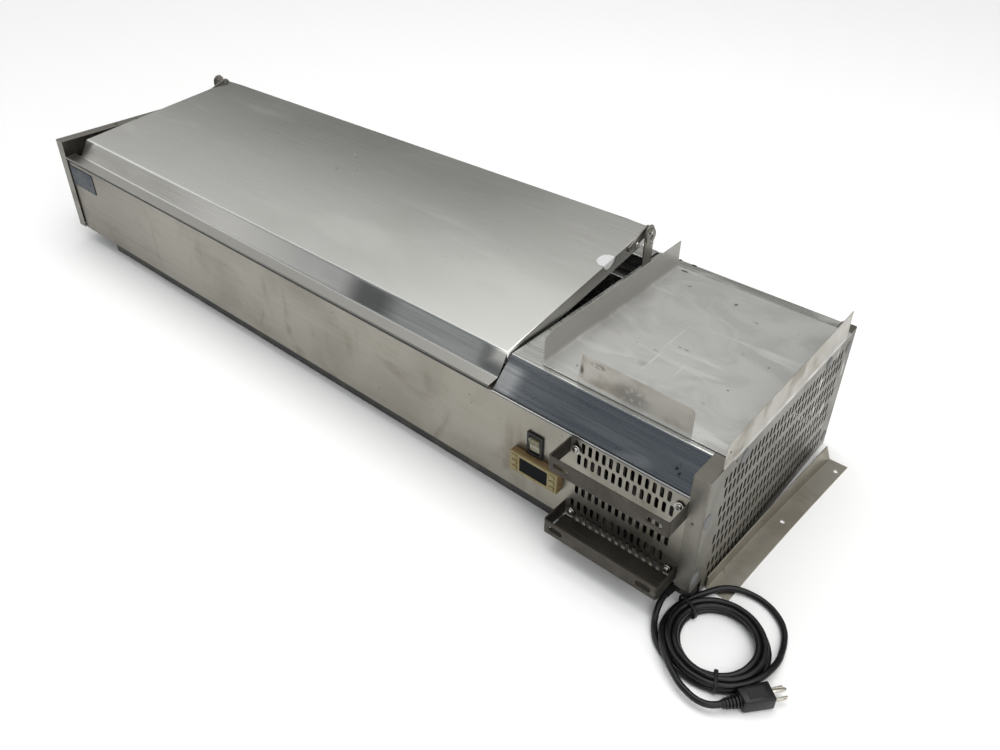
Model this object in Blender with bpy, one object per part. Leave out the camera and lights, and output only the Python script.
"""Countertop refrigerated prep rail: sheet-steel cabinet with a pan well under a hinged lid,
a compressor bay with vents at its right-hand end, guard bars, a shelf tray and a coiled lead.
Metres, +Z up, front towards -Y, compressor bay towards +X, origin under the middle on the floor."""
from math import cos, pi, radians, sin

import bmesh
import bpy
from mathutils import Matrix, Vector

for stale in list(bpy.data.objects):
    bpy.data.objects.remove(stale, do_unlink=True)

# Driving dimensions
LENGTH, DEPTH, HEIGHT = 1.400, 0.395, 0.208
LEFT, FRONT = -0.725, -0.175
RIGHT, BACK = LEFT + LENGTH, FRONT + DEPTH
SHEET, GAP = 0.0012, 0.0003
FOOT = 0.030                      # lower edge of the front panel
SILL = 0.170                      # upper edge of the front panel
FLANGE = 0.021                    # face width of the end panels' flanges
PROUD = 0.003                     # how far the end panels stand in front of the front panel
END_FRONT, END_BACK = FRONT - PROUD, BACK + 0.0005
SEAM_LEFT, SEAM_RIGHT = LEFT + FLANGE, RIGHT - FLANGE
BAY = 0.3636                      # left edge of the compressor bay's hood
TOP = 0.2075                      # flat top of the hood
BEVEL_RUN = 0.0386                # depth of the hood's sloping front

PAN_COUNT, PAN_PITCH, PAN_LENGTH, PAN_DEPTH = 6, 0.1765, 0.325, 0.100
WELL_LEFT, PAN_FRONT = -0.702, -0.146

LID_LEFT, LID_RIGHT = -0.678, 0.3600
LID_BEND_Y, LID_BEND_Z = -0.141, 0.210
LID_BACK_Y, LID_BACK_LEFT_Z, LID_BACK_RIGHT_Z = 0.1815, 0.243, 0.265
HINGE_LEFT, HINGE_RIGHT = Vector((-0.700, 0.171, 0.2404)), Vector((0.375, 0.171, 0.2618))
HINGE_LINE = (HINGE_RIGHT - HINGE_LEFT).normalized()
PIN_R, PIN_HOLE_R = 0.0030, 0.0032

SLOT_W, SLOT_H, SLOT_PITCH = 0.0056, 0.0165, 0.010


def material(name, colour, roughness, metallic):
    made = bpy.data.materials.new(name)
    made.use_nodes = True
    shader = made.node_tree.nodes["Principled BSDF"]
    shader.inputs["Base Color"].default_value = (*colour, 1.0)
    shader.inputs["Roughness"].default_value = roughness
    shader.inputs["Metallic"].default_value = metallic
    return made


STEEL = material("brushed_stainless", (0.58, 0.57, 0.54), 0.34, 1.0)
HOOD_STEEL = material("hood_stainless", (0.34, 0.37, 0.40), 0.30, 1.0)
DULL_STEEL = material("dull_shelf_steel", (0.52, 0.51, 0.48), 0.45, 1.0)
BAR_STEEL = material("guard_bar_steel", (0.27, 0.25, 0.23), 0.50, 0.9)
DARK_PAN = material("dark_base_coat", (0.06, 0.06, 0.06), 0.6, 0.3)
PAN_STEEL = material("pan_stainless", (0.66, 0.66, 0.65), 0.25, 1.0)
FOAM = material("insulation_foam", (0.80, 0.74, 0.55), 0.9, 0.0)
BLACK = material("black_plastic", (0.02, 0.02, 0.02), 0.45, 0.0)
GOLD = material("gold_bezel_plastic", (0.55, 0.43, 0.16), 0.4, 0.2)
AMBER = material("clear_switch_rocker", (0.45, 0.46, 0.34), 0.25, 0.0)
COPPER = material("copper_tube", (0.72, 0.36, 0.22), 0.3, 1.0)
COMPRESSOR_BLACK = material("compressor_enamel", (0.03, 0.03, 0.03), 0.35, 0.2)
ALUMINIUM = material("fin_aluminium", (0.70, 0.71, 0.72), 0.4, 1.0)
BADGE = material("badge_plate_blue", (0.06, 0.09, 0.13), 0.4, 0.2)
RUBBER = material("cord_rubber", (0.015, 0.015, 0.016), 0.5, 0.0)
BRIGHT = material("bright_steel", (0.72, 0.72, 0.72), 0.2, 1.0)


def place(name, bm, finish, origin=(0, 0, 0)):
    """Make a named object from a bmesh in world coordinates, with its own origin."""
    bmesh.ops.recalc_face_normals(bm, faces=bm.faces)
    bmesh.ops.translate(bm, verts=bm.verts, vec=-Vector(origin))
    mesh = bpy.data.meshes.new(name)
    bm.to_mesh(mesh)
    bm.free()
    mesh.materials.append(finish)
    made = bpy.data.objects.new(name, mesh)
    made.location = origin
    bpy.context.scene.collection.objects.link(made)
    return made


def box_mesh(low, high):
    bm = bmesh.new()
    low, high = Vector(low), Vector(high)
    size = Matrix.Diagonal((*(high - low), 1.0))
    bmesh.ops.create_cube(bm, size=1.0, matrix=Matrix.Translation((low + high) / 2) @ size)
    return bm


def box(name, low, high, finish, origin=(0, 0, 0)):
    return place(name, box_mesh(low, high), finish, origin)


def in_plane(axis, a, b, along):
    """A point from its two in-plane coordinates and its place along the given axis."""
    return {"x": (along, a, b), "y": (a, along, b), "z": (a, b, along)}[axis]


def plate_mesh(outline, axis, start, stop, holes=()):
    """A flat plate cut to an outline, pierced by holes, between two planes across an axis."""
    bm = bmesh.new()
    rims = []
    for loop in (outline, *holes):
        corners = [bm.verts.new(in_plane(axis, a, b, start)) for a, b in loop]
        rims += [bm.edges.new((v, corners[i - 1])) for i, v in enumerate(corners)]
    bmesh.ops.triangle_fill(bm, use_beauty=True, edges=rims)
    grown = bmesh.ops.extrude_face_region(bm, geom=bm.faces[:])
    moved = [v for v in grown["geom"] if isinstance(v, bmesh.types.BMVert)]
    bmesh.ops.translate(bm, verts=moved, vec=Vector(in_plane(axis, 0, 0, stop - start)))
    return bm


def plate(name, outline, axis, start, stop, finish, holes=(), origin=(0, 0, 0)):
    return place(name, plate_mesh(outline, axis, start, stop, holes), finish, origin)


def rectangle(a0, b0, a1, b1):
    return [(a0, b0), (a1, b0), (a1, b1), (a0, b1)]


def arc(centre, radius, start, stop, steps):
    turn = [radians(start + (stop - start) * i / steps) for i in range(steps + 1)]
    return [(centre[0] + radius * cos(t), centre[1] + radius * sin(t)) for t in turn]


def ring_loop(centre, radius, sides):
    return arc(centre, radius, 0, 360 - 360 / sides, sides - 1)


def turned_mesh(profile, base, axis, sides):
    """A round piece spun from (radius, height) points that start and end on its axis."""
    bm = bmesh.new()
    points = [bm.verts.new((radius, 0, height)) for radius, height in profile]
    edges = [bm.edges.new(pair) for pair in zip(points, points[1:])]
    bmesh.ops.spin(bm, geom=points + edges, cent=(0, 0, 0), axis=(0, 0, 1), dvec=(0, 0, 0),
                   angle=2 * pi, steps=sides, use_merge=True, use_duplicate=False)
    bmesh.ops.remove_doubles(bm, verts=bm.verts, dist=0.00001)
    aim = Vector((0, 0, 1)).rotation_difference(Vector(axis).normalized())
    bmesh.ops.transform(bm, verts=bm.verts, matrix=Matrix.Translation(base) @ aim.to_matrix().to_4x4())
    return bm


def turned(name, profile, base, axis, sides, finish, origin=(0, 0, 0)):
    return smooth(place(name, turned_mesh(profile, base, axis, sides), finish, origin))


def rod(name, start, stop, radius, finish, sides=16, origin=(0, 0, 0)):
    start, stop = Vector(start), Vector(stop)
    length = (stop - start).length
    profile = [(0, 0), (radius, 0), (radius, length), (0, length)]
    return turned(name, profile, start, stop - start, sides, finish, origin)


def smooth(piece):
    piece.data.shade_smooth()
    piece.data.set_sharp_from_angle(angle=radians(35))
    return piece


def combine(piece, tool_meshes, operation):
    """Join tools to a piece, or cut them from it, and keep the result as its mesh."""
    for index, tool_mesh in enumerate(tool_meshes):
        tool = place(f"{piece.name}_tool_{index}", tool_mesh, piece.data.materials[0])
        modifier = piece.modifiers.new("join_or_cut", "BOOLEAN")
        modifier.operation, modifier.object, modifier.solver = operation, tool, "EXACT"
        bpy.context.view_layer.update()
        result = piece.evaluated_get(bpy.context.evaluated_depsgraph_get())
        mesh = bpy.data.meshes.new_from_object(result)
        piece.modifiers.clear()
        piece.data = mesh
        bpy.data.objects.remove(tool, do_unlink=True)
    return piece


def tube(name, points, radius, finish, resolution=2):
    """A round tube through a list of points, closed at both ends."""
    curve = bpy.data.curves.new(name, "CURVE")
    curve.dimensions = "3D"
    curve.bevel_depth, curve.bevel_resolution, curve.use_fill_caps = radius, resolution, True
    line = curve.splines.new("POLY")
    line.points.add(len(points) - 1)
    for point, place_at in zip(line.points, points):
        point.co = (*place_at, 1.0)
    curve.materials.append(finish)
    made = bpy.data.objects.new(name, curve)
    bpy.context.scene.collection.objects.link(made)
    return made


def smooth_route(stops, spacing):
    """Points a set distance apart on a smooth curve through the route's own points."""
    stops = [Vector(stop) for stop in stops]
    padded = [2 * stops[0] - stops[1], *stops, 2 * stops[-1] - stops[-2]]
    fine = [stops[0]]
    for p0, p1, p2, p3 in zip(padded, padded[1:], padded[2:], padded[3:]):
        for step in range(1, 21):
            t = step / 20
            fine.append(0.5 * (2 * p1 + (p2 - p0) * t + (2 * p0 - 5 * p1 + 4 * p2 - p3) * t ** 2
                               + (3 * p1 - p0 - 3 * p2 + p3) * t ** 3))
    route, travelled = [fine[0]], 0.0
    for here, there in zip(fine, fine[1:]):
        travelled += (there - here).length
        if travelled >= spacing:
            route.append(there)
            travelled = 0.0
    if (route[-1] - fine[-1]).length < spacing / 2:
        route.pop()
    return route + [fine[-1]]


def vent_slots(rows, first, last):
    """Upright vent slots, in staggered rows between two ends."""
    slots = []
    for index, height in enumerate(rows):
        start = first + (index % 2) * SLOT_PITCH / 2
        count = int((last - start) / SLOT_PITCH) + 1
        for column in range(count):
            middle = start + column * SLOT_PITCH
            slots.append(rectangle(middle - SLOT_W / 2, height - SLOT_H / 2,
                                   middle + SLOT_W / 2, height + SLOT_H / 2))
    return slots


# Cabinet -------------------------------------------------------------------------------------

FRONT_VENT_ROWS = [0.157, 0.137, 0.108, 0.088, 0.060, 0.040]
END_VENT_ROWS = [0.1805, 0.1605, 0.135, 0.115, 0.089, 0.069, 0.0425, 0.0225]
DISPLAY_CUT = (0.4085, 0.0740, 0.4775, 0.1003)
SWITCH_CUT = (0.4268, 0.1065, 0.4474, 0.1368)


def cabinet():
    holes = vent_slots(FRONT_VENT_ROWS, 0.4985, 0.6350)
    plate("front_panel", rectangle(SEAM_LEFT + GAP, FOOT, SEAM_RIGHT - GAP, SILL), "y",
          FRONT, FRONT + SHEET, STEEL, holes + [rectangle(*DISPLAY_CUT), rectangle(*SWITCH_CUT)])
    plate("back_panel", rectangle(SEAM_LEFT + GAP, FOOT, SEAM_RIGHT - GAP, TOP - 0.002), "y",
          BACK - SHEET, BACK, STEEL)

    left_end = box("left_end_panel", (LEFT, END_FRONT, FOOT), (SEAM_LEFT, END_BACK, HEIGHT), STEEL)
    hollow = box_mesh((LEFT + SHEET, END_FRONT + SHEET, FOOT - 0.01),
                      (SEAM_LEFT + 0.01, BACK - SHEET, HEIGHT - SHEET))
    combine(left_end, [hollow], "DIFFERENCE")
    notch = box_mesh((-0.713, 0.006, HEIGHT - 0.005), (-0.702, 0.022, HEIGHT + 0.005))
    holes = [plate_mesh(ring_loop(middle, 0.0032, 10), "z", HEIGHT - 0.005, HEIGHT + 0.005)
             for middle in ((-0.7145, -0.062), (-0.7125, -0.018))]
    combine(left_end, [notch, *holes], "DIFFERENCE")

    leg_front, leg_foot = -0.150, 0.002
    face = [(END_FRONT, FOOT), (leg_front, FOOT), (leg_front, leg_foot), (END_BACK, leg_foot),
            (END_BACK, HEIGHT), (END_FRONT, HEIGHT)]
    slots = vent_slots(END_VENT_ROWS, -0.137, 0.192)
    right_end = plate("right_end_panel", face, "x", RIGHT - SHEET, RIGHT, STEEL, slots)
    rim = (SEAM_RIGHT, END_FRONT, FOOT), (RIGHT - SHEET / 2, END_BACK, HEIGHT)
    core = (SEAM_RIGHT - 0.01, END_FRONT + SHEET, FOOT - 0.01), (RIGHT + 0.01, BACK - SHEET, HEIGHT - SHEET)
    rim_piece = combine(box("rim", *rim, STEEL), [box_mesh(*core)], "DIFFERENCE")
    rim_mesh = bmesh.new()
    rim_mesh.from_mesh(rim_piece.data)
    bpy.data.objects.remove(rim_piece, do_unlink=True)
    combine(right_end, [rim_mesh], "UNION")

    pan_low, pan_high, pan_wall = Vector((-0.625, -0.162, 0)), Vector((0.672, 0.207, FOOT - GAP)), 0.0015
    base = box("base_pan", pan_low, pan_high, DARK_PAN)
    inner_high = (pan_high.x - pan_wall, pan_high.y - pan_wall, FOOT + 0.01)
    combine(base, [box_mesh(pan_low + Vector((pan_wall,) * 3), inner_high)], "DIFFERENCE")
    shelf = box_mesh((LEFT + SHEET + GAP, FRONT + 0.002, FOOT - 0.002), (-0.6240, BACK - 0.002, FOOT - GAP))
    combine(base, [shelf], "UNION")
    box("floor_foam", (-0.6230, -0.1600, 0.0018), (0.3550, 0.2050, 0.0345), FOAM)
    box("bay_bulkhead", (0.3590, FRONT + SHEET + GAP, FOOT + GAP),
        (0.3602, BACK - 2 * SHEET, SILL - 0.0008), STEEL)

    bevel = [(FRONT, SILL + GAP), (FRONT + BEVEL_RUN, TOP), (BACK - SHEET - 2 * GAP, TOP),
             (BACK - SHEET - 2 * GAP, TOP - SHEET), (FRONT + BEVEL_RUN + 0.0005, TOP - SHEET),
             (FRONT + 0.0016, SILL + GAP)]
    plate("bay_hood", bevel, "x", BAY, SEAM_RIGHT - GAP, HOOD_STEEL)


def well():
    right = WELL_LEFT + PAN_COUNT * PAN_PITCH
    opening = rectangle(WELL_LEFT + 0.010, -0.1345, right - 0.010, 0.1675)
    plate("well_frame", rectangle(SEAM_LEFT + GAP, FRONT + 0.0015, BAY - 0.004, BACK - 0.0015), "z",
          SILL + GAP, SILL + GAP + SHEET, STEEL, [opening])
    low, high = Vector((WELL_LEFT + 0.0075, -0.137, 0.045)), Vector((right - 0.0075, 0.170, SILL))
    wall = Vector((0.001, 0.001, 0.001))
    combine(box("well_liner", low, high, PAN_STEEL),
            [box_mesh(low + wall, (high.x - 0.001, high.y - 0.001, high.z + 0.01))], "DIFFERENCE")
    for index in range(1, PAN_COUNT):
        middle = WELL_LEFT + index * PAN_PITCH
        box(f"divider_bar_{index}", (middle - 0.006, -0.1342, 0.1655),
            (middle + 0.006, 0.1672, 0.1715), STEEL)
    for index in range(PAN_COUNT):
        food_pan(f"food_pan_{index + 1}", WELL_LEFT + (index + 0.5) * PAN_PITCH)
    runs = []
    for index in range(6):
        row = -0.115 + index * 0.050
        ends = (-0.600, 0.320) if index % 2 == 0 else (0.320, -0.600)
        runs += [(ends[0], row, 0.0400), (ends[1], row, 0.0400)]
        if index < 5:
            side = 1 if index % 2 == 0 else -1
            runs += [(ends[1] + side * 0.025 * sin(radians(t)), row + 0.025 * (1 - cos(radians(t))), 0.0400)
                     for t in (45, 90, 135)]
    tube("evaporator_tube", runs, 0.0045, COPPER, 1)
    box("back_rail", (SEAM_LEFT + GAP, 0.1860, SILL + 0.0018), (BAY - 0.004, BACK - 0.0015, TOP), STEEL)


def food_pan(name, middle):
    """One third-size food pan: a tapered tub hung by the rim round its mouth."""
    rim_top, rim = 0.1728, 0.0008
    mouth = Vector((0.0765, 0.1490))
    centre = Vector((middle, PAN_FRONT + PAN_LENGTH / 2))
    bm = bmesh.new()

    def level(half, height):
        corners = ((-1, -1), (1, -1), (1, 1), (-1, 1))
        return [bm.verts.new((centre.x + sx * half.x, centre.y + sy * half.y, height)) for sx, sy in corners]

    edge = Vector((PAN_PITCH / 2 - 0.0003, PAN_LENGTH / 2))
    taper, wall = Vector((0.006, 0.006)), Vector((0.0008, 0.0008))
    floor = rim_top - PAN_DEPTH
    loops = [level(mouth - taper, floor), level(mouth, rim_top - rim), level(edge, rim_top - rim),
             level(edge, rim_top), level(mouth - wall, rim_top), level(mouth - taper - wall, floor + rim)]
    for lower, upper in zip(loops, loops[1:]):
        for i in range(4):
            bm.faces.new((lower[i - 1], lower[i], upper[i], upper[i - 1]))
    bm.faces.new(loops[0][::-1])
    bm.faces.new(loops[-1])
    place(name, bm, PAN_STEEL, (centre.x, centre.y, rim_top))


# Lid -----------------------------------------------------------------------------------------

def lid_back_z(x):
    share = (x - LID_LEFT) / (LID_RIGHT - LID_LEFT)
    return LID_BACK_LEFT_Z + share * (LID_BACK_RIGHT_Z - LID_BACK_LEFT_Z)


def lid():
    steps = 8
    stations = [LID_LEFT + (LID_RIGHT - LID_LEFT) * i / steps for i in range(steps + 1)]
    skirt, back_skirt = 0.022, 0.024

    def across(y, height):
        return [(x, y, height(x) if callable(height) else height) for x in stations]

    def top(y):
        share = (y - LID_BEND_Y) / (LID_BACK_Y - LID_BEND_Y)
        return lambda x: LID_BEND_Z + share * (lid_back_z(x) - LID_BEND_Z)

    middle = (LID_BEND_Y + LID_BACK_Y) / 2
    grid = [across(-0.1790, 0.1735), across(-0.1790, 0.1785), across(-0.1600, 0.1810),
            across(LID_BEND_Y, LID_BEND_Z), across(middle, top(middle)), across(LID_BACK_Y, top(LID_BACK_Y)),
            across(LID_BACK_Y, lambda x: lid_back_z(x) - back_skirt)]
    bm = bmesh.new()
    rows = [[bm.verts.new(point) for point in row] for row in grid]
    for low, high in zip(rows, rows[1:]):
        for i in range(1, len(low)):
            bm.faces.new((low[i - 1], low[i], high[i], high[i - 1]))
    lip_left = -0.7020
    ends = [bm.verts.new((lip_left, *rows[r][0].co[1:])) for r in range(3)]
    for r in range(2):
        bm.faces.new((ends[r], rows[r][0], rows[r + 1][0], ends[r + 1]))
    for side in (0, -1):
        upper = [rows[r][side] for r in (3, 4, 5)]
        lower = [bm.verts.new(v.co - Vector((0, 0, skirt))) for v in upper[:2]] + [rows[6][side]]
        bm.faces.new((upper[0], upper[1], lower[1], lower[0]))
        bm.faces.new((upper[1], upper[2], lower[2], lower[1]))
    bmesh.ops.recalc_face_normals(bm, faces=bm.faces)
    if sum(face.normal.z * face.calc_area() for face in bm.faces) < 0:
        bmesh.ops.reverse_faces(bm, faces=bm.faces)
    mesh = bpy.data.meshes.new("lid_skin")
    pivot = Vector(HINGE_LEFT)
    bmesh.ops.translate(bm, verts=bm.verts, vec=-pivot)
    bm.to_mesh(mesh)
    bm.free()
    mesh.materials.append(STEEL)
    skin = bpy.data.objects.new("lid_skin", mesh)
    skin.location = pivot
    bpy.context.scene.collection.objects.link(skin)
    shell = skin.modifiers.new("thickness", "SOLIDIFY")
    shell.thickness, shell.offset, shell.use_even_offset = SHEET, -1.0, True

    lid_layer("lid_foam", FOAM, top, 0.0021, 0.0130, 0.0055)
    lid_layer("lid_liner", PAN_STEEL, top, 0.0133, 0.0143, 0.0025)


def lid_layer(name, finish, top, upper, lower, back_inset):
    """A layer under the lid's skin that follows its slight twist, between two depths."""
    steps, inset = 8, 0.0025
    bm = bmesh.new()
    rows = []
    for y in (LID_BEND_Y + 0.004, (LID_BEND_Y + LID_BACK_Y) / 2, LID_BACK_Y - back_inset):
        row = []
        for index in range(steps + 1):
            x = LID_LEFT + inset + (LID_RIGHT - LID_LEFT - 2 * inset) * index / steps
            row.append([bm.verts.new((x, y, top(y)(x) - depth)) for depth in (upper, lower)])
        rows.append(row)
    for near, far in zip(rows, rows[1:]):
        for i in range(1, steps + 1):
            for side in (0, 1):
                bm.faces.new((near[i - 1][side], near[i][side], far[i][side], far[i - 1][side]))
    rim = rows[0] + [row[-1] for row in rows[1:]] + rows[-1][-2::-1] + [rows[1][0]]
    for i, here in enumerate(rim):
        bm.faces.new((rim[i - 1][0], here[0], here[1], rim[i - 1][1]))
    place(name, bm, finish, tuple(HINGE_LEFT))


def hinge_plate_mesh(axis_point, start, stop, reach, drop, radius):
    """An upright hinge plate: a rounded head round the pin hole, over a straight foot."""
    y, z = axis_point.y, axis_point.z
    outline = [(y - reach, z - drop), *arc((y, z), radius, 180, 0, 8), (y + radius, z - drop)]
    return plate_mesh(outline, "x", start, stop, [ring_loop((y, z), PIN_HOLE_R + 0.0002, 20)])


def on_axis(x):
    return HINGE_LEFT + HINGE_LINE * ((x - HINGE_LEFT.x) / HINGE_LINE.x)


def hinges():
    for side, bracket_x, pin_ends, foot in (
            ("left", (-0.7037, -0.7021), (-0.7037, -0.6786), SILL + 0.0018),
            ("right", (0.3665, 0.3685), (0.3604, 0.3720), TOP + GAP)):
        at = on_axis(sum(bracket_x) / 2)
        bracket = hinge_plate_mesh(at, *bracket_x, 0.012, at.z - foot, 0.012)
        place(f"hinge_bracket_{side}", bracket, STEEL)
        rod(f"hinge_pin_{side}", on_axis(pin_ends[0]), on_axis(pin_ends[1]), PIN_R, BRIGHT, 20)
    for side, ear_x in (("left", (-0.6805, -0.6784)), ("right", (0.3603, 0.3622))):
        at = on_axis(sum(ear_x) / 2)
        y, z = at.y, at.z
        slope = -0.17 if side == "right" else -0.10
        head = arc((y, z), 0.0095, -90, 90, 8)
        outline = [(y - 0.045, z - 0.0095 + 0.045 * slope), *head, (y - 0.045, z - 0.002 + 0.045 * slope)]
        ear = plate_mesh(outline, "x", *ear_x, [ring_loop((y, z), PIN_HOLE_R + 0.0002, 20)])
        place(f"hinge_ear_{side}", ear, STEEL, tuple(HINGE_LEFT))


# Shelf tray, guard bars and corner bracket -----------------------------------------------------

def shelf_tray():
    base_z, top_z = TOP + 0.0008, 0.2525
    left, right, front, back = 0.4080, 0.6765, -0.1305, 0.1970
    tray = box("shelf_tray", (left, front, base_z), (right, back, base_z + SHEET), DULL_STEEL)
    left_flange = [(front + 0.002, base_z), (0.193, base_z), (0.1925, 0.2540), (front + 0.012, top_z),
                   (front + 0.004, top_z - 0.004), (front + 0.002, top_z - 0.010)]
    front_flange = [(0.4615, base_z), (0.6220, base_z), (0.6215, 0.2455), (0.6165, 0.2505), (0.4675, 0.2530)]
    right_flange = [(-0.1300, base_z), (0.178, base_z), (0.176, 0.2550), (-0.1500, 0.2470),
                    (-0.1550, 0.2420), (-0.1560, 0.2150), (-0.1540, 0.2115), (-0.1300, 0.2115)]
    combine(tray, [plate_mesh(left_flange, "x", left, left + SHEET),
                   plate_mesh(front_flange, "y", front, front + SHEET),
                   plate_mesh(right_flange, "x", right - SHEET, right)], "UNION")


def guard_bar(name, low, high, left, right):
    """A flat bar bent to a U, with ears turned in against the panel and a slot near each end."""
    back, front, thick, ear = FRONT - GAP, FRONT - 0.0405, 0.0020, 0.0170
    outline = [(left + ear, back), (left, back), (left, front), (right, front), (right, back),
               (right - ear, back), (right - ear, back - thick), (right - thick, back - thick),
               (right - thick, front + thick), (left + thick, front + thick),
               (left + thick, back - thick), (left + ear, back - thick)]
    bar = plate(name, outline, "z", low, high, BAR_STEEL)
    middle = (low + high) / 2
    slots = []
    for start in (left + 0.006, right - 0.026):
        ends = arc((start + 0.0165, middle), 0.0045, -90, 90, 4)
        ends += arc((start + 0.0045, middle), 0.0045, 90, 270, 4)
        slots.append(plate_mesh(ends, "y", front - 0.01, front + 0.01))
    combine(bar, slots, "DIFFERENCE")


def guard_bars():
    guard_bar("upper_guard_bar", 0.1420, 0.1640, 0.4900, 0.6520)
    guard_bar("lower_guard_bar", 0.0360, 0.0570, 0.4885, 0.6500)
    box("lower_guard_trough", (0.4908, -0.2132, 0.0364), (0.6477, -0.1776, 0.0376), BAR_STEEL)


def corner_bracket():
    """The bolt-down angle at the right-hand end, sprung away from the cabinet at the back."""
    bm = bmesh.new()
    stations = 8
    start, stop, thick, rise = -0.1340, 0.1900, 0.0015, 0.0210
    loops = []
    for index in range(stations + 1):
        share = index / stations
        y = start + (stop - start) * share
        fold = 0.6778 + 0.0197 * share ** 1.3
        top = 0.6770 + 0.0125 * share ** 1.2
        edge = fold + 0.0300 - 0.0030 * share
        section = [(top, rise), (fold, thick), (edge, thick),
                   (edge, 0.0), (fold - thick, 0.0), (top - thick, rise)]
        loops.append([bm.verts.new((x, y, z)) for x, z in section])
    for near, far in zip(loops, loops[1:]):
        for i in range(6):
            bm.faces.new((near[i - 1], near[i], far[i], far[i - 1]))
    bm.faces.new(loops[0])
    bm.faces.new(loops[-1][::-1])
    bracket = place("corner_bracket", bm, STEEL)
    holes = [plate_mesh(ring_loop(middle, 0.0032, 12), "z", -0.01, 0.01)
             for middle in ((0.7150, 0.170), (0.7000, 0.030))]
    combine(bracket, holes, "DIFFERENCE")


# Controls ------------------------------------------------------------------------------------

KEY_ROWS, KEY_COLUMNS = (0.0965, 0.0872, 0.0779), (0.4127, 0.4733)


def controls():
    keys = [(x, z) for x in KEY_COLUMNS for z in KEY_ROWS]
    windows = [rectangle(0.4205, 0.0757, 0.4655, 0.0987)]
    windows += [rectangle(x - 0.0043, z - 0.0031, x + 0.0043, z + 0.0031) for x, z in keys]
    plate("thermostat_bezel", rectangle(0.4050, 0.0716, 0.4810, 0.1027), "y",
          FRONT - 0.0120, FRONT - GAP, GOLD, windows)
    box("thermostat_display", (0.4208, FRONT - 0.0112, 0.0760), (0.4652, FRONT - GAP, 0.0984), BLACK)
    box("thermostat_body", (0.4090, FRONT, 0.0745), (0.4770, FRONT + 0.060, 0.0998), BLACK)
    for index, (x, z) in enumerate(keys, 1):
        box(f"thermostat_key_{index}", (x - 0.0040, FRONT - 0.0132, z - 0.0028),
            (x + 0.0040, FRONT - 0.0050, z + 0.0028), GOLD, (x, FRONT - 0.0050, z))

    frame = box("switch_frame", (0.4246, FRONT - 0.0032, 0.1040), (0.4496, FRONT - GAP, 0.1395), BLACK)
    combine(frame, [box_mesh((0.4272, FRONT - 0.001, 0.1069), (0.4470, FRONT + 0.022, 0.1364))], "UNION")
    combine(frame, [box_mesh((0.4288, FRONT - 0.010, 0.1085), (0.4454, FRONT + 0.014, 0.1350))], "DIFFERENCE")
    profile = [(FRONT - 0.0070, 0.1325), (FRONT - 0.0032, 0.12175), (FRONT - 0.0025, 0.1110),
               (FRONT + 0.0080, 0.1125), (FRONT + 0.0080, 0.1310)]
    plate("switch_rocker", profile, "x", 0.4291, 0.4451, AMBER, origin=(0.4371, FRONT + 0.002, 0.12175))
    box("badge_plate", (SEAM_LEFT + 0.001, FRONT - GAP - 0.0008, 0.1235),
        (-0.6225, FRONT - GAP, 0.1625), BADGE)


# Compressor bay --------------------------------------------------------------------------------

FAN_X, FAN_Z = 0.5650, 0.1000


def compressor_bay():
    can = [(0, 0), (0.030, 0), (0.058, 0.006), (0.060, 0.016),
           (0.060, 0.110), (0.054, 0.128), (0.034, 0.142), (0, 0.146)]
    turned("compressor", can, (0.590, 0.110, 0.0018), (0, 0, 1), 20, COMPRESSOR_BLACK)
    fins, pitch, fin = 14, 0.0088, 0.00352
    left, front, root, back = 0.5030, FRONT + 0.016, FRONT + 0.042, FRONT + 0.048
    comb = [(left, back)]
    for index in range(fins):
        x = left + index * pitch
        comb += [(x, front), (x + fin, front), (x + fin, root), (x + pitch, root)]
    comb[-2:] = [(x + fin, back)]
    plate("condenser_coil", comb, "z", 0.0350, 0.1640, ALUMINIUM)
    plate("fan_shroud", rectangle(0.5000, 0.0320, 0.6300, 0.1660), "y", FRONT + 0.0500, FRONT + 0.0515,
          DARK_PAN, [ring_loop((FAN_X, FAN_Z), 0.056, 24)])
    blade_y = FRONT + 0.062
    hub = turned("fan_blade", [(0, 0), (0.014, 0), (0.016, 0.004), (0.016, 0.016), (0, 0.016)],
                 (FAN_X, blade_y, FAN_Z), (0, 1, 0), 12, ALUMINIUM, (FAN_X, blade_y, FAN_Z))
    blades = []
    for index in range(4):
        blade = box_mesh((0.010, -0.0006, -0.013), (0.052, 0.0006, 0.013))
        twist = Matrix.Translation((0, 0.0081, 0)) @ Matrix.Rotation(radians(24), 4, "X")
        turn = Matrix.Translation((FAN_X, blade_y, FAN_Z)) @ Matrix.Rotation(radians(90 * index), 4, "Y")
        bmesh.ops.transform(blade, verts=blade.verts, matrix=turn @ twist)
        blades.append(blade)
    combine(hub, blades, "UNION")
    motor = [(0, 0), (0.005, 0), (0.005, 0.006), (0.024, 0.008),
             (0.026, 0.012), (0.026, 0.036), (0.018, 0.042), (0, 0.042)]
    turned("fan_motor", motor, (FAN_X, blade_y + 0.0163, FAN_Z), (0, 1, 0), 16, COMPRESSOR_BLACK)
    drier = [(0, 0), (0.003, 0), (0.003, 0.012), (0.010, 0.020),
             (0.010, 0.085), (0.003, 0.094), (0.003, 0.106), (0, 0.106)]
    turned("filter_drier", drier, (0.430, 0.090, 0.060), (0, 0, 1), 12, COPPER)


# Lead ------------------------------------------------------------------------------------------

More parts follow.
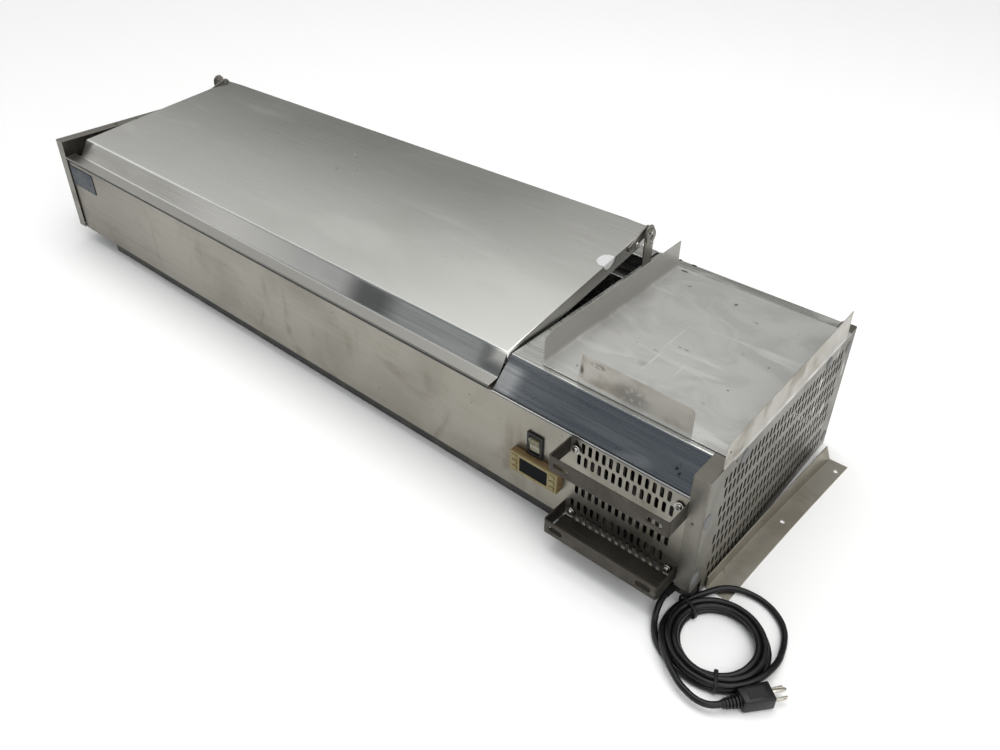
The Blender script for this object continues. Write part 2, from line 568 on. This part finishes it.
CORD_R = 0.0039
COIL_CENTRE, COIL_IN, COIL_OUT, COIL_H = Vector((0.728, -0.199, 0.0)), 0.0405, 0.0645, 0.0165
GLAND, GLAND_LENGTH = Vector((0.6480, -0.1623, 0.0130)), 0.0207
LEAD_STOPS = ((0.6480, -0.1836, 0.0130), (0.6483, -0.1910, 0.0126), (0.6492, -0.1976, 0.0116),
              (0.6505, -0.2036, 0.0101), (0.6523, -0.2096, 0.0081), (0.6547, -0.2156, 0.0062),
              (0.6576, -0.2216, 0.0049), (0.6612, -0.2276, 0.0043), (0.6656, -0.2336, 0.0042))
LOOP_STOPS = ((0.6820, -0.1442, 0.0054), (0.6862, -0.1372, 0.0059), (0.6960, -0.1235, 0.0060),
              (0.7100, -0.1145, 0.0059), (0.7270, -0.1095, 0.0046), (0.7450, -0.1100, 0.0042),
              (0.7635, -0.1175, 0.0042), (0.7780, -0.1305, 0.0042), (0.7865, -0.1480, 0.0046),
              (0.7910, -0.1660, 0.0065), (0.7925, -0.1750, 0.0080))
PLUG_TAIL, PLUG_HEADING = Vector((0.7700, -0.2673, 0.0110)), radians(52)


def lead():
    gland = [(0, 0), (0.0095, 0), (0.0095, 0.004), (0.0062, 0.0055),
             (0.0050, GLAND_LENGTH), (0, GLAND_LENGTH)]
    turned("cord_gland", gland, GLAND, (0, -1, 0), 12, BLACK)
    tube("power_cord", smooth_route(LEAD_STOPS, 0.008), CORD_R, RUBBER)
    tube("cord_loop", smooth_route(LOOP_STOPS, 0.010), CORD_R, RUBBER)
    coil()
    plug()


def coil():
    """The outer shape of the coiled turns: a flat ring with its corners taken off."""
    ring, cut = bmesh.new(), 0.004
    corners = [(COIL_IN, GAP + cut), (COIL_IN + cut, GAP), (COIL_OUT - cut, GAP), (COIL_OUT, GAP + cut),
               (COIL_OUT, COIL_H - cut), (COIL_OUT - cut, COIL_H),
               (COIL_IN + cut, COIL_H), (COIL_IN, COIL_H - cut)]
    verts = [ring.verts.new((COIL_CENTRE.x + r, COIL_CENTRE.y, z)) for r, z in corners]
    edges = [ring.edges.new((v, verts[i - 1])) for i, v in enumerate(verts)]
    bmesh.ops.spin(ring, geom=verts + edges, cent=COIL_CENTRE, axis=(0, 0, 1), dvec=(0, 0, 0),
                   angle=2 * pi, steps=24, use_merge=True, use_duplicate=False)
    bmesh.ops.remove_doubles(ring, verts=ring.verts, dist=0.00001)
    smooth(place("cord_coil", ring, RUBBER))


def plug():
    heading = Matrix.Translation(PLUG_TAIL) @ Matrix.Rotation(PLUG_HEADING, 4, "Z")

    def at_plug(bm):
        bmesh.ops.transform(bm, verts=bm.verts, matrix=heading)
        return bm

    outline = [(0, -0.0055), (0.020, -0.0065), (0.024, -0.0100), (0.058, -0.0120), (0.058, 0.0120),
               (0.024, 0.0100), (0.020, 0.0065), (0, 0.0055)]
    body = place("power_plug", at_plug(plate_mesh(outline, "z", -0.0100, 0.0090)), RUBBER)
    blades = [at_plug(box_mesh((0.050, y - 0.0008, -0.0052), (0.0745, y + 0.0008, 0.0012)))
              for y in (-0.0063, 0.0063)]
    pin = turned_mesh([(0, 0), (0.0024, 0), (0.0024, 0.025), (0, 0.025)], (0.052, 0, 0.0045), (1, 0, 0), 10)
    blades.append(at_plug(pin))
    combine(body, blades, "UNION")


cabinet()
well()
lid()
hinges()
shelf_tray()
guard_bars()
corner_bracket()
controls()
compressor_bay()
lead()
